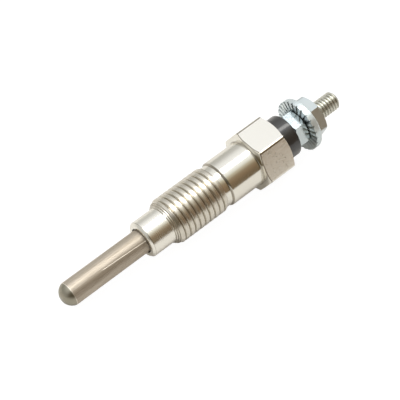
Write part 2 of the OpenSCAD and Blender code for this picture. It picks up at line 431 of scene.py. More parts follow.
@dataclass(frozen=True, kw_only=True)
class NickelPlate(Finish):
    """Bright nickel on turned steel, with fine lathe rings and a mottled hexagon.

    Attributes:
        bright, dull: The plate's two tones.
        clean, worn: Its tone on the nose and the hexagon, and on the thread.
        painted_shade, speck: Its painted shade in roots, creases and the mouth and along edges, and its tone
            in pits.
        clean_share, worn_share, speck_share: How far those tones replace the plate's.
        ring_rough to speck_rough: Roughness that lathe rings, clouds and each place add.
        root_dark to bevel_dark: Share of the painted shade in each shaded place.
        hexagon_foot, hexagon_top: Heights between which the hexagon's look lies.
        thread_foot, thread_top: The same for the thread's.
        ridge_r: Radius of the hexagon's ridges.
        shoulder: Height of the painted shade line at the shank's foot.
        mouth_r, nose_bevel: Radius of the nose's mouth and height of its bevel.
        bevel_r, bevel_slope: Where the bevel of the hexagon's front starts, and its slope in degrees.
        lead_foot, lead_rise: Height of the thread's lowest step and the rise to the next.
        root_r, flank_r: Radii between which the painted shade in the thread's roots fades out.
        top_flat, top_edge: Distances across which the pits fade out on the upper flat.
        crease_r, shoulder_r: Radii across which two painted shade lines fade out.
        relief_m: Height of the relief, in metres.
    """

    slot: Slot = Slot.NICKEL
    mouth_r: float
    nose_bevel: float
    bevel_r: float
    bevel_slope: float
    lead_foot: float
    lead_rise: float
    bright: Colour = (0.785, 0.758, 0.69)
    dull: Colour = (0.735, 0.708, 0.63)
    clean: Colour = (0.855, 0.828, 0.755)
    worn: Colour = (0.62, 0.58, 0.50)
    painted_shade: Colour = (0.24, 0.205, 0.15)
    speck: Colour = (0.34, 0.305, 0.24)
    roughness: float = 0.10
    ring_rough: float = 0.07
    cloud_rough: float = 0.05
    nose_rough: float = 0.10
    thread_rough: float = 0.12
    speck_rough: float = 0.14
    relief_m: float = 6e-6
    hexagon_foot: float = Stack.hexagon
    hexagon_top: float = Stack.bush
    thread_foot: float = 5.6
    thread_top: float = 18.2
    root_r: float = 4.62
    flank_r: float = 4.88
    ridge_r: float = 6.84
    shoulder: float = 19.65
    crease_r: tuple[float, float] = (5.1, 5.25)
    shoulder_r: tuple[float, float] = (4.88, 4.95)
    top_flat: float = -5.8
    top_edge: float = -5.3
    clean_share: float = 0.6
    worn_share: float = 0.8
    speck_share: float = 0.7
    root_dark: float = 0.42
    lead_dark: float = 0.6
    hexagon_bevel_dark: float = 0.9
    ridge_dark: float = 0.75
    crease_dark: float = 0.6
    shoulder_dark: float = 0.7
    mouth_dark: float = 0.85
    bevel_dark: float = 0.4

    def dirt_and_painted_shade(self, bench: Bench, point: bpy.types.NodeSocket) -> Value:
        """Finds where shade is painted on the plate: in creases, roots and the mouth, and as thin lines
        along edges.

        Args:
            bench: The material's nodes.
            point: The shaded point on the upright plug.

        Returns:
            The share of the painted shade.
        """
        across, up, height = bench.split(point)
        reach = bench.reach(point)
        # Painted shade: the thread's roots and lead steps, the creases at the shank's foot and the hexagon's
        # foot, the nose's mouth, and thin dark lines along the hexagon's bevel, one side of each ridge and
        # the nose's bevel stand in for shade and dark reflections.
        on_thread = bench.span(height, self.thread_foot + 0.95, self.thread_top, 0.1)
        roots = on_thread * (1.0 - bench.step(reach, self.root_r, self.flank_r)) * self.root_dark
        on_lead = bench.span(height, self.lead_foot - 0.2, self.lead_foot + 0.9, 0.1)
        wave = height.math("PINGPONG", (height - self.lead_foot) * (1.0 / self.lead_rise) + 8.0, 0.5)
        lines = on_lead * (1.0 - bench.step(wave, 0.08, 0.22)) * self.lead_dark
        over = reach.math("MAXIMUM", reach - self.bevel_r, 0.0)
        on_flat = height - self.hexagon_foot - over * math.tan(math.radians(self.bevel_slope))
        outside = bench.step(reach, self.bevel_r - 0.25, self.bevel_r - 0.2)
        hexagon_bevel_shade = outside * bench.span(on_flat, 0.03, 0.24, 0.05) * self.hexagon_bevel_dark
        sixth = across.math("ARCTAN2", up, across) * (6.0 / math.tau) + 6.5
        beside = bench.span(sixth.math("FRACT", sixth), 0.006, 0.05, 0.012)
        ridge = bench.step(reach, self.ridge_r - 0.12, self.ridge_r - 0.08) * beside * self.ridge_dark
        crease = bench.span(height, self.hexagon_foot - 0.22, self.hexagon_foot + 0.1, 0.1)
        crease = crease * (1.0 - bench.step(reach, *self.crease_r)) * self.crease_dark
        shoulder = bench.span(height, self.shoulder - 0.2, self.shoulder + 0.22, 0.1)
        shoulder = shoulder * (1.0 - bench.step(reach, *self.shoulder_r)) * self.shoulder_dark
        mouth = 1.0 - bench.step(reach, self.mouth_r - 0.02, self.mouth_r + 0.03)
        mouth = mouth * self.mouth_dark
        bevel = bench.span(height, self.nose_bevel - 0.03, self.nose_bevel + 0.10, 0.05)
        bevel = bevel * self.bevel_dark
        dark = roots
        for mask in (lines, hexagon_bevel_shade, ridge, crease, shoulder, mouth, bevel):
            dark = dark.math("MAXIMUM", dark, mask)
        return dark

    def paint(self, bench: Bench, lay: Lay) -> Mapping[str, Any]:
        """Paints the finish.

        Args:
            bench: The material's nodes.
            lay: The lie of the plug.

        Returns:
            The inputs of the shader.
        """
        point = bench.plug_point(lay)
        across, _, height = bench.split(point)
        on_hexagon = bench.span(height, self.hexagon_foot, self.hexagon_top, 0.2)
        on_nose = 1.0 - bench.step(height, self.thread_foot - 0.3, self.thread_foot)
        on_thread = bench.span(height, self.thread_foot, self.thread_top, 0.2)
        rings = bench.noise(bench.stretch(point, (0.12, 0.12, 7.0)), 1.0, 3.0, 0.6)
        clouds = bench.noise(point, 0.32, 2.0)
        pits = bench.noise(point, 2.3, 3.0, 0.6)
        speckle = bench.step(pits, 0.59, 0.65) * bench.step(across, self.top_flat, self.top_edge)
        roughness = (
            self.roughness
            + self.ring_rough * rings
            + self.cloud_rough * clouds
            + self.nose_rough * on_nose
            + self.thread_rough * on_thread
            + on_hexagon * self.speck_rough * speckle
        )
        relief = rings * (1.0 - on_hexagon) * 0.5 + pits * on_hexagon * 0.7
        plate = bench.mix(clouds, self.bright, self.dull)
        plate = bench.mix((on_nose + on_hexagon) * self.clean_share, plate, self.clean)
        plate = bench.mix(on_thread * self.worn_share, plate, self.worn)
        plate = bench.mix(on_hexagon * speckle * self.speck_share, plate, self.speck)
        return {
            # The plate is darkened by painted shade in roots, creases and the mouth and along edges.
            "Base Color": bench.mix(self.dirt_and_painted_shade(bench, point), plate, self.painted_shade),
            "Metallic": 1.0,
            "Roughness": roughness,
            "Normal": bench.bump(relief, self.relief_m),
        }


@dataclass(frozen=True)
class HeaterAlloy(Finish):
    """Satin heat-resisting alloy, drawn lengthways, with a duller tip and one long scratch.

    Attributes:
        pale, dark: The tube's two tones.
        tip, scratch_and_highlight: Tones of its tip, and of its scratch and of the painted highlight round
            the tip.
        tip_top: Height that the tip's colour reaches.
        scratch_angle: Angle of the scratch round the axis at height 0, in degrees.
        scratch_lean: Turn of the scratch to a millimetre of height, in degrees.
        scratch_span: Heights between which the scratch runs.
        scratch_share: How far the scratch's colour replaces the tube's.
        edge_highlight_share: The same for the painted highlight along the edge round the tip.
        relief_m: Height of the relief, in metres.
    """

    slot: Slot = Slot.ALLOY
    pale: Colour = (0.57, 0.51, 0.435)
    dark: Colour = (0.40, 0.345, 0.27)
    tip: Colour = (0.31, 0.295, 0.235)
    scratch_and_highlight: Colour = (0.86, 0.81, 0.71)
    tip_top: float = -17.8
    scratch_angle: float = -138.6
    scratch_lean: float = 0.8
    scratch_span: tuple[float, float] = (-10.5, 0.5)
    scratch_share: float = 0.85
    edge_highlight_share: float = 0.7
    roughness: float = 0.46
    relief_m: float = 8e-6

    def paint(self, bench: Bench, lay: Lay) -> Mapping[str, Any]:
        """Paints the finish.

        Args:
            bench: The material's nodes.
            lay: The lie of the plug.

        Returns:
            The inputs of the shader.
        """
        point = bench.plug_point(lay)
        across, up, height = bench.split(point)
        streaks = bench.noise(bench.stretch(point, (7.0, 7.0, 0.10)), 1.0, 3.0, 0.65)
        scratches = bench.noise(bench.stretch(point, (15.0, 15.0, 0.4)), 1.0, 2.0)
        clouds = bench.noise(point, 0.25, 2.0)
        on_tip = 1.0 - bench.step(height, self.tip_top - 0.1, self.tip_top)
        course = height * math.radians(self.scratch_lean) + math.radians(self.scratch_angle)
        off = across.math("ABSOLUTE", across.math("ARCTAN2", up, across) - course)
        line = bench.span(height, *self.scratch_span, 1.0) * (1.0 - bench.step(off, 0.012, 0.045))
        body = bench.mix(bench.step(streaks, 0.30, 0.70) * 0.7 + clouds * 0.3, self.pale, self.dark)
        body = bench.mix(line * self.scratch_share, body, self.scratch_and_highlight)
        # Painted highlight: a thin bright line round the edge where the tip meets the tube.
        edge = bench.span(height, self.tip_top - 0.10, self.tip_top + 0.02, 0.06)
        tip = bench.mix(clouds * 0.6, self.tip, self.dark)
        tube = bench.mix(on_tip, body, tip)
        return {
            "Base Color": bench.mix(edge * self.edge_highlight_share, tube, self.scratch_and_highlight),
            "Metallic": 1.0,
            "Roughness": self.roughness + 0.12 * streaks + 0.06 * clouds - 0.20 * on_tip,
            "Normal": bench.bump(streaks * 0.4 + scratches * 0.4 + line * 4.0, self.relief_m),
        }


@dataclass(frozen=True)
class PhenolicMoulding(Finish):
    """Satin black moulded resin.

    Attributes:
        black, grey: The resin's two tones.
        index: Its index of refraction.
        coat, coat_roughness: Weight and roughness of its glossy skin.
        relief_m: Height of the relief, in metres.
    """

    slot: Slot = Slot.PHENOLIC
    black: Colour = (0.008, 0.008, 0.008)
    grey: Colour = (0.018, 0.017, 0.016)
    roughness: float = 0.36
    index: float = 1.45
    coat: float = 0.85
    coat_roughness: float = 0.11
    relief_m: float = 8e-6

    def paint(self, bench: Bench, lay: Lay) -> Mapping[str, Any]:
        """Paints the finish.

        Args:
            bench: The material's nodes.
            lay: The lie of the plug.

        Returns:
            The inputs of the shader.
        """
        point = bench.plug_point(lay)
        grain = bench.noise(point, 5.0, 3.0, 0.6)
        clouds = bench.noise(point, 0.8, 2.0)
        return {
            "Base Color": bench.mix(clouds, self.black, self.grey),
            "IOR": self.index,
            "Coat Weight": self.coat,
            "Coat Roughness": self.coat_roughness,
            "Roughness": self.roughness + 0.10 * grain + 0.05 * clouds,
            "Normal": bench.bump(grain, self.relief_m),
        }


@dataclass(frozen=True)
class ZincPlate(Finish):
    """Blue-white zinc, a little cloudy.

    Attributes:
        blue, straw: The plate's two tones.
        dark: Its tone where it is dull, and its painted shade in the notches under a flange.
        haze: Roughness that is added outside haze_r.
        haze_r: Radius from which it is added.
        relief_m: Height of the relief, in metres.
    """

    slot: Slot = Slot.ZINC
    blue: Colour = (0.54, 0.61, 0.64)
    straw: Colour = (0.57, 0.61, 0.60)
    dark: Colour = (0.15, 0.19, 0.20)
    roughness: float = 0.07
    haze: float = 0.0
    haze_r: float = 5.2
    relief_m: float = 6e-6

    def paint(self, bench: Bench, lay: Lay) -> Mapping[str, Any]:
        """Paints the finish.

        Args:
            bench: The material's nodes.
            lay: The lie of the plug.

        Returns:
            The inputs of the shader.
        """
        point = bench.plug_point(lay)
        clouds = bench.noise(point, 0.6, 3.0)
        grain = bench.noise(point, 4.0, 3.0, 0.6)
        plate = bench.mix(clouds, self.blue, self.straw)
        hazy = bench.step(bench.reach(point), self.haze_r, self.haze_r + 0.2) * self.haze
        return {
            # Dull clouds darken a plain nut's plate; on the flange nut, painted shade darkens the notches
            # instead.
            "Base Color": bench.mix(self.dirt_and_painted_shade(bench, point), plate, self.dark),
            "Metallic": 1.0,
            "Roughness": self.roughness + 0.10 * clouds + 0.08 * grain + hazy,
            "Normal": bench.bump(grain, self.relief_m),
        }

    def dirt_and_painted_shade(self, bench: Bench, point: bpy.types.NodeSocket) -> Value:
        """Returns where the plate is dull, which on a plain nut is a faint cloud."""
        return bench.noise(point, 0.9, 2.0) * 0.15


@dataclass(frozen=True, kw_only=True)
class SerratedZinc(ZincPlate):
    """Zinc with painted shade in the notches under a flange.

    Attributes:
        notches: Notches round the flange.
        turn: Turn of the notches about the axis, in degrees.
        top: Height below which the notches lie.
        notch_dark: Share of the painted shade deep in a notch.
    """

    blue: Colour = (0.66, 0.74, 0.77)
    straw: Colour = (0.69, 0.73, 0.72)
    roughness: float = 0.25
    haze: float = 0.18
    notches: int
    turn: float
    top: float
    notch_dark: float = 0.6

    def dirt_and_painted_shade(self, bench: Bench, point: bpy.types.NodeSocket) -> Value:
        """Finds where shade is painted, which is deep in the notches.

        Args:
            bench: The material's nodes.
            point: The shaded point on the upright plug.

        Returns:
            The share of the painted shade.
        """
        across, up, height = bench.split(point)
        angle = across.math("ARCTAN2", up, across) - math.radians(self.turn)
        off = angle.math("PINGPONG", angle * (self.notches / math.tau) + self.notches, 0.5)
        below = 1.0 - bench.step(height, self.top - 0.1, self.top)
        # Painted shade: the plate darkens deep in each notch, where shade falls.
        return below * (1.0 - bench.step(off, 0.05, 0.15)) * self.notch_dark


@dataclass(frozen=True)
class StudSteel(Finish):
    """Plated steel with a rolled thread, with painted shade in its roots.

    Attributes:
        bright, dull: The plate's two tones.
        painted_shade: Its painted shade in the roots.
        root_r, flank_r: Radii between which the painted shade in the roots fades out.
        root_dark: Share of the painted shade in the roots.
        relief_m: Height of the relief, in metres.
    """

    slot: Slot = Slot.STEEL
    bright: Colour = (0.69, 0.68, 0.61)
    dull: Colour = (0.55, 0.54, 0.47)
    painted_shade: Colour = (0.26, 0.245, 0.20)
    roughness: float = 0.30
    root_r: float = 1.69
    flank_r: float = 1.86
    root_dark: float = 0.7
    relief_m: float = 6e-6

    def paint(self, bench: Bench, lay: Lay) -> Mapping[str, Any]:
        """Paints the finish.

        Args:
            bench: The material's nodes.
            lay: The lie of the plug.

        Returns:
            The inputs of the shader.
        """
        point = bench.plug_point(lay)
        clouds = bench.noise(point, 0.9, 3.0)
        grain = bench.noise(point, 6.0, 3.0, 0.6)
        in_root = 1.0 - bench.step(bench.reach(point), self.root_r, self.flank_r)
        plate = bench.mix(clouds, self.bright, self.dull)
        return {
            # Painted shade darkens the thread's roots.
            "Base Color": bench.mix(in_root * self.root_dark, plate, self.painted_shade),
            "Metallic": 1.0,
            "Roughness": self.roughness + 0.15 * grain,
            "Normal": bench.bump(grain, self.relief_m),
        }


@dataclass(frozen=True)
class DullFill(Finish):
    """Packed powder, or another plain material with grain.

    Attributes:
        pale, dark: Its two tones.
        grain: Grains to a millimetre.
        relief_m: Height of the relief, in metres.
    """

    slot: Slot = Slot.POWDER
    pale: Colour = (0.88, 0.87, 0.84)
    dark: Colour = (0.76, 0.75, 0.71)
    metallic: float = 0.0
    roughness: float = 0.8
    grain: float = 6.0
    relief_m: float = 2e-5

    def paint(self, bench: Bench, lay: Lay) -> Mapping[str, Any]:
        """Paints the finish.

        Args:
            bench: The material's nodes.
            lay: The lie of the plug.

        Returns:
            The inputs of the shader.
        """
        grain = bench.noise(bench.plug_point(lay), self.grain, 3.0, 0.6)
        return {
            "Base Color": bench.mix(grain, self.pale, self.dark),
            "Metallic": self.metallic,
            "Roughness": self.roughness + 0.12 * grain,
            "Normal": bench.bump(grain, self.relief_m),
        }


@dataclass(frozen=True)
class ResistanceWire(DullFill):
    """Dull oxidised wire."""

    slot: Slot = Slot.WIRE
    pale: Colour = (0.42, 0.39, 0.37)
    dark: Colour = (0.28, 0.26, 0.25)
    metallic: float = 1.0
    roughness: float = 0.42
    grain: float = 8.0


@dataclass(frozen=True)
class SealRubber(DullFill):
    """Matte black rubber."""

    slot: Slot = Slot.RUBBER
    pale: Colour = (0.05, 0.05, 0.05)
    dark: Colour = (0.025, 0.025, 0.025)
    roughness: float = 0.6
    grain: float = 4.0


@dataclass(frozen=True)
class Corner:
    """A corner of a turned outline.

    Attributes:
        radius: Distance from the axis.
        height: Height along the axis.
        rounding: How far from the corner its rounding starts.
    """

    radius: float
    height: float
    rounding: float = 0.0


def outline(corners: Sequence[Corner], steps: int = 4) -> list[Vector]:
    """Draws a turned outline with rounded corners.

    Args:
        corners: The corners in order.
        steps: Parts of each rounding.

    Returns:
        Points with the radius in x and the height in z.
    """
    points = [Vector((corner.radius, 0.0, corner.height)) for corner in corners]
    drawn: list[Vector] = []
    for index, (corner, point) in enumerate(zip(corners, points)):
        if corner.rounding <= 0 or index in (0, len(points) - 1):
            drawn.append(point)
            continue
        start = point + (points[index - 1] - point).normalized() * corner.rounding
        end = point + (points[index + 1] - point).normalized() * corner.rounding
        for step in range(steps + 1):
            share = step / steps
            drawn.append(start.lerp(point, share).lerp(point.lerp(end, share), share))
    return drawn


def at(value: Along, angle: float) -> float:
    """Returns a size that may depend on the angle round the axis."""
    return value(angle) if callable(value) else value


@dataclass(frozen=True)
class Hexagon:
    """A hexagon bar's outline with one flat towards +X.

    Attributes:
        flat: Distance of the flats from the axis.
        turn: Turn about the axis, in degrees.
        slope: Slope of the bevels on its ends, in degrees.
    """

    flat: float
    turn: float = 0.0
    slope: float = 30.0

    def radius(self, angle: float) -> float:
        """Measures the outline's distance from the axis.

        Args:
            angle: The angle round the axis, in radians.

        Returns:
            The distance there.
        """
        sixth = math.pi / 3
        off = (angle - math.radians(self.turn) + sixth / 2) % sixth - sixth / 2
        return self.flat / math.cos(off)

    def corner(self) -> float:
        """Returns the radius of the corners."""
        return self.flat / math.cos(math.pi / 6)

    def face(self, face_r: float) -> Callable[[float], float]:
        """Returns the radius of an end face whose bevel starts at face_r."""
        return lambda angle: min(face_r, self.radius(angle))

    def drop(self, face_r: float) -> Callable[[float], float]:
        """Returns how far the bevel runs down the bar from the end face."""
        fall = math.tan(math.radians(self.slope))
        return lambda angle: max(0.0, self.radius(angle) - face_r) * fall


class Shell:
    """A mesh about the axis that grows ring by ring."""

    def __init__(self) -> None:
        """Starts with no ring."""
        self.bm = bmesh.new()
        self.rim: list[bmesh.types.BMEdge] = []

    def ring(self, angles: Sequence[float], radius: Along, height: Along) -> list[bmesh.types.BMEdge]:
        """Makes a first ring.

        Args:
            angles: The angles of its vertices, in radians.
            radius: The ring's radius.
            height: The ring's height.

        Returns:
            The ring's edges.
        """
        made = bmesh.ops.create_circle(self.bm, cap_ends=False, segments=len(angles), radius=1.0)
        for vert, angle in zip(made["verts"], angles):
            vert.co = Vector((math.cos(angle), math.sin(angle), 0.0))
            self._place(vert, radius, height)
        self.rim = list(dict.fromkeys(edge for vert in made["verts"] for edge in vert.link_edges))
        return self.rim

    @staticmethod
    def _place(vert: bmesh.types.BMVert, radius: Along, height: Along) -> None:
        """Moves a vertex to a radius and height at its own angle.

        Args:
            vert: The vertex.
            radius: Its new distance from the axis.
            height: Its new height.
        """
        angle = math.atan2(vert.co.y, vert.co.x)
        reach = at(radius, angle)
        vert.co = Vector((reach * math.cos(angle), reach * math.sin(angle), at(height, angle)))

    def grow(self, radius: Along, height: Along) -> list[bmesh.types.BMEdge]:
        """Grows one ring out of the rim.

        Args:
            radius: The ring's radius.
            height: The ring's height.

        Returns:
            The ring's edges.
        """
        made = bmesh.ops.extrude_edge_only(self.bm, edges=self.rim)["geom"]
        for vert in made:
            if isinstance(vert, bmesh.types.BMVert):
                self._place(vert, radius, height)
        fresh = {item for item in made if isinstance(item, bmesh.types.BMVert)}
        self.rim = [
            edge
            for edge in made
            if isinstance(edge, bmesh.types.BMEdge) and all(vert in fresh for vert in edge.verts)
        ]
        return self.rim

    def follow(self, points: Sequence[Vector]) -> list[bmesh.types.BMEdge]:
        """Grows a ring for each point of a turned outline.

        Args:
            points: The outline.

        Returns:
            The last ring's edges.
        """
        for point in points:
            self.grow(point.x, point.z)
        return self.rim

    def cap(self) -> None:
        """Closes the rim with a face."""
        bmesh.ops.edgeloop_fill(self.bm, edges=self.rim)

    def rim_at(self, height: float) -> None:
        """Takes the open edges at a height as the rim."""
        self.rim = [
            edge
            for edge in self.bm.edges
            if edge.is_boundary and all(abs(vert.co.z - height) < SAME_HEIGHT for vert in edge.verts)
        ]


@dataclass(frozen=True)
class ThreadForm:
    """A screw thread's outline.

    Attributes:
        major: Radius of the crests.
        pitch: Rise in a turn.
        root: Radius of the roots.
        crest_share: Flat of the crest as a share of the pitch.
        root_share: Flat of the root as a share of the pitch.
        soft: Rounding of the corners as a share of the pitch.
        steps: Parts of a turn.
        run_in: Turns that are wound below the lower end and trimmed off.
    """

    major: float
    pitch: float
    root: float
    crest_share: float
    root_share: float
    soft: float
    steps: int = 96
    run_in: float = 2.2

    def points(self) -> list[Vector]:
        """Draws one pitch of the outline.

        Returns:
            Its points, from the middle of a root to the next.
        """
        root_edge = self.root_share / 2 * self.pitch
        crest_edge = (1 - self.crest_share) / 2 * self.pitch
        soft = self.soft * self.pitch
        return outline(
            [
                Corner(self.root, 0.0),
                Corner(self.root, root_edge, soft / 2),
                Corner(self.major, crest_edge, soft),
                Corner(self.major, self.pitch - crest_edge, soft),
                Corner(self.root, self.pitch - root_edge, soft / 2),
                Corner(self.root, self.pitch),
            ],
            steps=3,
        )

    def wind(self, shell: Shell, foot: float, top: float, limit: Callable[[float, float], float]) -> None:
        """Winds the thread into an empty shell and trims it flat at both ends.

        Args:
            shell: The shell.
            foot: Height of the lower end.
            top: Height of the upper end.
            limit: Gives the radius for a height and the thread's own radius there.
        """
        start = foot - self.run_in * self.pitch
        turns = math.ceil((top - start) / self.pitch) + 1
        bm = shell.bm
        verts = [bm.verts.new(point + Vector((0.0, 0.0, start))) for point in self.points()]
        edges = [bm.edges.new(pair) for pair in zip(verts, verts[1:])]
        bmesh.ops.spin(
            bm,
            geom=verts + edges,
            cent=(0.0, 0.0, 0.0),
            axis=(0.0, 0.0, 1.0),
            dvec=(0.0, 0.0, self.pitch / self.steps),
            angle=math.tau,
            steps=self.steps,
            use_merge=False,
        )
        first = [*bm.verts, *bm.edges, *bm.faces]
        for turn in range(1, turns):
            made = bmesh.ops.duplicate(bm, geom=first)["geom"]
            fresh = [item for item in made if isinstance(item, bmesh.types.BMVert)]
            bmesh.ops.translate(bm, vec=(0.0, 0.0, turn * self.pitch), verts=fresh)
        bmesh.ops.remove_doubles(bm, verts=bm.verts, dist=SAME_HEIGHT)
        for vert in bm.verts:
            own = vert.co.xy.length
            share = limit(vert.co.z, own) / own
            vert.co = Vector((vert.co.x * share, vert.co.y * share, vert.co.z))
        for height, below in ((foot, True), (top, False)):
            bmesh.ops.bisect_plane(
                bm,
                geom=[*bm.verts, *bm.edges, *bm.faces],
                dist=SLIVER,
                plane_co=(0.0, 0.0, height),
                plane_no=(0.0, 0.0, 1.0),
                clear_inner=below,
                clear_outer=not below,
            )


@dataclass
class Piece(ABC):
    """One visible piece of the plug, which stands for a solid of the frame.

    Attributes:
        stack: Heights along the plug.
        crisp: Angle past which an edge stays sharp, in degrees.
    """

    stack: Stack = field(default_factory=Stack)
    crisp: float = 32.0

    @property
    @abstractmethod
    def name(self) -> str:
        """The piece's name."""

    @property
    @abstractmethod
    def node(self) -> str:
        """The solid that it stands for."""

    @property
    @abstractmethod
    def finish(self) -> Finish:
        """Its surface finish."""

    @abstractmethod
    def build(self) -> bmesh.types.BMesh:
        """Returns the upright mesh, in millimetres."""

    def dress(self, lay: Lay) -> None:
        """Builds the piece, lays it down and gives it its finish.

        Args:
            lay: The lie of the plug.
        """
        bm = self.build()
        bmesh.ops.remove_doubles(bm, verts=bm.verts, dist=SAME_POINT)
        bmesh.ops.dissolve_degenerate(bm, dist=SLIVER, edges=bm.edges)
        bmesh.ops.recalc_face_normals(bm, faces=bm.faces)
        bmesh.ops.transform(bm, matrix=lay.matrix(), verts=bm.verts)
        limit = math.radians(self.crisp)
        for face in bm.faces:
            face.smooth = True
        for edge in bm.edges:
            edge.smooth = edge.smooth and len(edge.link_faces) == 2 and edge.calc_face_angle() < limit
        mesh = bpy.data.meshes.new(self.name)
        bm.to_mesh(mesh)
        bm.free()
        mesh.materials.append(self.finish.material(lay))
        piece = bpy.data.objects.new(self.name, mesh)
        bpy.context.scene.collection.objects.link(piece)
        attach(piece, BODY)
        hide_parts(self.node)
        self.finish.slot.value
        LOG.info("%s: %d faces", self.name, len(mesh.polygons))


def turned(corners: Sequence[Corner], steps: int, closed: bool, parts: int = 5) -> bmesh.types.BMesh:
    """Spins an outline about the axis.

    Args:
        corners: The outline's corners.
        steps: Parts of the turn.
        closed: True if the outline's end joins its start, False if both lie on the axis.
        parts: Parts of each rounding.

    Returns:
        The turned mesh.
    """
    bm = bmesh.new()
    verts = [bm.verts.new(point) for point in outline(corners, parts)]
    pairs = list(zip(verts, verts[1:]))
    if closed:
        pairs.append((verts[-1], verts[0]))
    edges = [bm.edges.new(pair) for pair in pairs]
    bmesh.ops.spin(
        bm,
        geom=verts + edges,
        cent=(0.0, 0.0, 0.0),
        axis=(0.0, 0.0, 1.0),
        angle=math.tau,
        steps=steps,
        use_merge=True,
    )
    return bm


def soften_ridges(bm: bmesh.types.BMesh, corner_r: float, foot: float, top: float, width: float) -> None:
    """Breaks the ridges between a hexagon's flats, where they are longer than ten widths.

    Args:
        bm: The mesh.
        corner_r: Radius of the ridges.
        foot: Height below which no ridge lies.
        top: Height above which no ridge lies.
        width: How far the break reaches onto each flat.
    """
    ridges = []
    for edge in bm.edges:
        first, second = (vert.co for vert in edge.verts)
        on_corner = all(abs(co.xy.length - corner_r) < SAME_RADIUS for co in (first, second))
        inside = all(foot < co.z < top for co in (first, second))
        if on_corner and inside and abs(first.z - second.z) > 10 * width:
            ridges.append(edge)
    made = bmesh.ops.bevel(
        bm,
        geom=ridges,
        offset=width,
        offset_type="OFFSET",
        segments=3,
        profile=0.5,
        affect="EDGES",
        material=-1,
    )
    fresh = set(made["faces"])
    for face in made["faces"]:
        for edge in face.edges:
            edge.smooth = all(other in fresh for other in edge.link_faces)


